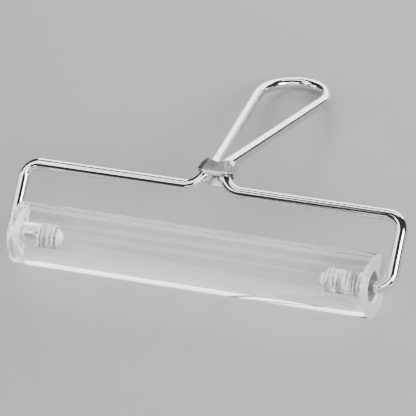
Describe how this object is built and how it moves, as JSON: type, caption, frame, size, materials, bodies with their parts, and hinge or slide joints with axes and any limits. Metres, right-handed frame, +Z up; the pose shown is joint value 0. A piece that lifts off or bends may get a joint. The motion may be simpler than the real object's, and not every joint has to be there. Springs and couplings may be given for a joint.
{
  "type": "brayer",
  "caption": "Clear solid acrylic roller with stepped end holes, turning on the pins of a one-piece bent wire frame whose loop handle is gathered at the neck by a folded sheet clip.",
  "frame": {"origin": "on the table under the middle of the frame, on the roller's lowest line", "axes": "+X along the roller, +Y from the roller towards the handle, +Z up, with the roller and the far end of the handle resting on the table"},
  "size_m": [0.1976, 0.1553, 0.0429],
  "materials": {
    "clear_acrylic": "polished",
    "bright_wire": "polished",
    "clip_sheet": "gloss"
  },
  "bodies": {
    "frame": {"wire_frame": "bright_wire", "neck_clip": "clip_sheet"},
    "roller": {"roller_rod": "clear_acrylic"}
  },
  "joints": [
    {"name": "roller_spin", "type": "hinge", "parent": "frame", "child": "roller", "pos_m": [-0.0018, 0, 0.01498], "axis": [1, 0, 0], "continuous": true}
  ]
}
